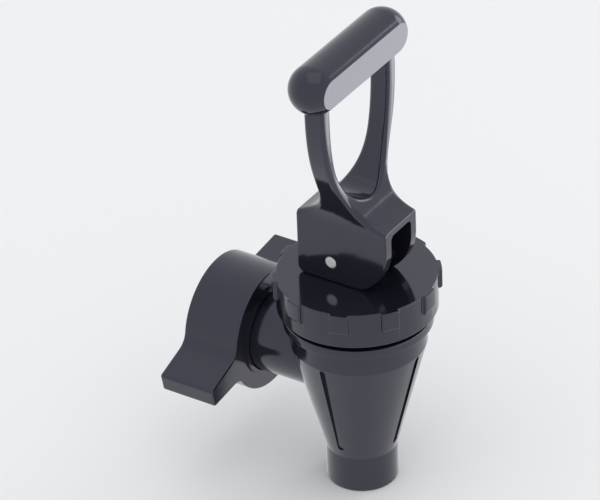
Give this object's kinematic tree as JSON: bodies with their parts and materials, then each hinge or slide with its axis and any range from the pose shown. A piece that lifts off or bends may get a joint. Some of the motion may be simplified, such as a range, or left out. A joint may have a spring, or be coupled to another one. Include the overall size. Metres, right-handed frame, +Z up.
{
  "type": "drain tap",
  "caption": "Lever-operated drain tap with a tapered body, lobed screw cap, side inlet with a captive wing nut, and a tall loop handle that lifts a spring-loaded stem.",
  "frame": {"origin": "centre of the inlet gasket's face that meets the tank, on the inlet axis", "axes": "+Y from the tap into the tank along the inlet axis, -Y to the front of the tap, +Z up along the outlet and stem axis, +X to the right seen from the front"},
  "size_m": [0.0536, 0.0616, 0.1248],
  "materials": {
    "black_moulding": "glossy black moulded plastic",
    "steel": "turned and drawn stainless steel",
    "bright_pin": "bright ground steel pin",
    "silicone": "translucent grey silicone rubber",
    "white_plastic": "natural white acetal"
  },
  "bodies": {
    "tap_body": {"body": "black_moulding", "bonnet_cap": "black_moulding", "seal_slip_ring": "white_plastic", "bell_seal": "silicone", "stem_bush": "white_plastic", "upper_spring_washer": "steel", "return_spring": "steel", "nut_retaining_ring": "white_plastic", "inlet_gasket": "silicone"},
    "stem_body": {"stem": "steel", "lower_spring_washer": "steel"},
    "lever_body": {"lever": "black_moulding", "lever_pin": "bright_pin"},
    "nut_body": {"wing_nut": "black_moulding"}
  },
  "joints": [
    {"name": "stem_lift", "type": "slide", "parent": "tap_body", "child": "stem_body", "axis": [0, 0, 1], "range_m": [0, 0.00344], "deforming": ["return_spring", "bell_seal"]},
    {"name": "lever_pull", "type": "hinge", "parent": "stem_body", "child": "lever_body", "pos_m": [0, -0.0313, 0.03055], "axis": [1, 0, 0], "range_deg": [0, 28], "stiffness_Nm_per_rad": 0.044, "springref_deg": -57.3},
    {"name": "wing_nut_spin", "type": "hinge", "parent": "tap_body", "child": "nut_body", "pos_m": [0, 0, 0], "axis": [0, 1, 0], "continuous": true}
  ],
  "couplings": [
    {"joint": "stem_lift", "follows": "lever_pull", "m_per_rad": 0.00702}
  ]
}
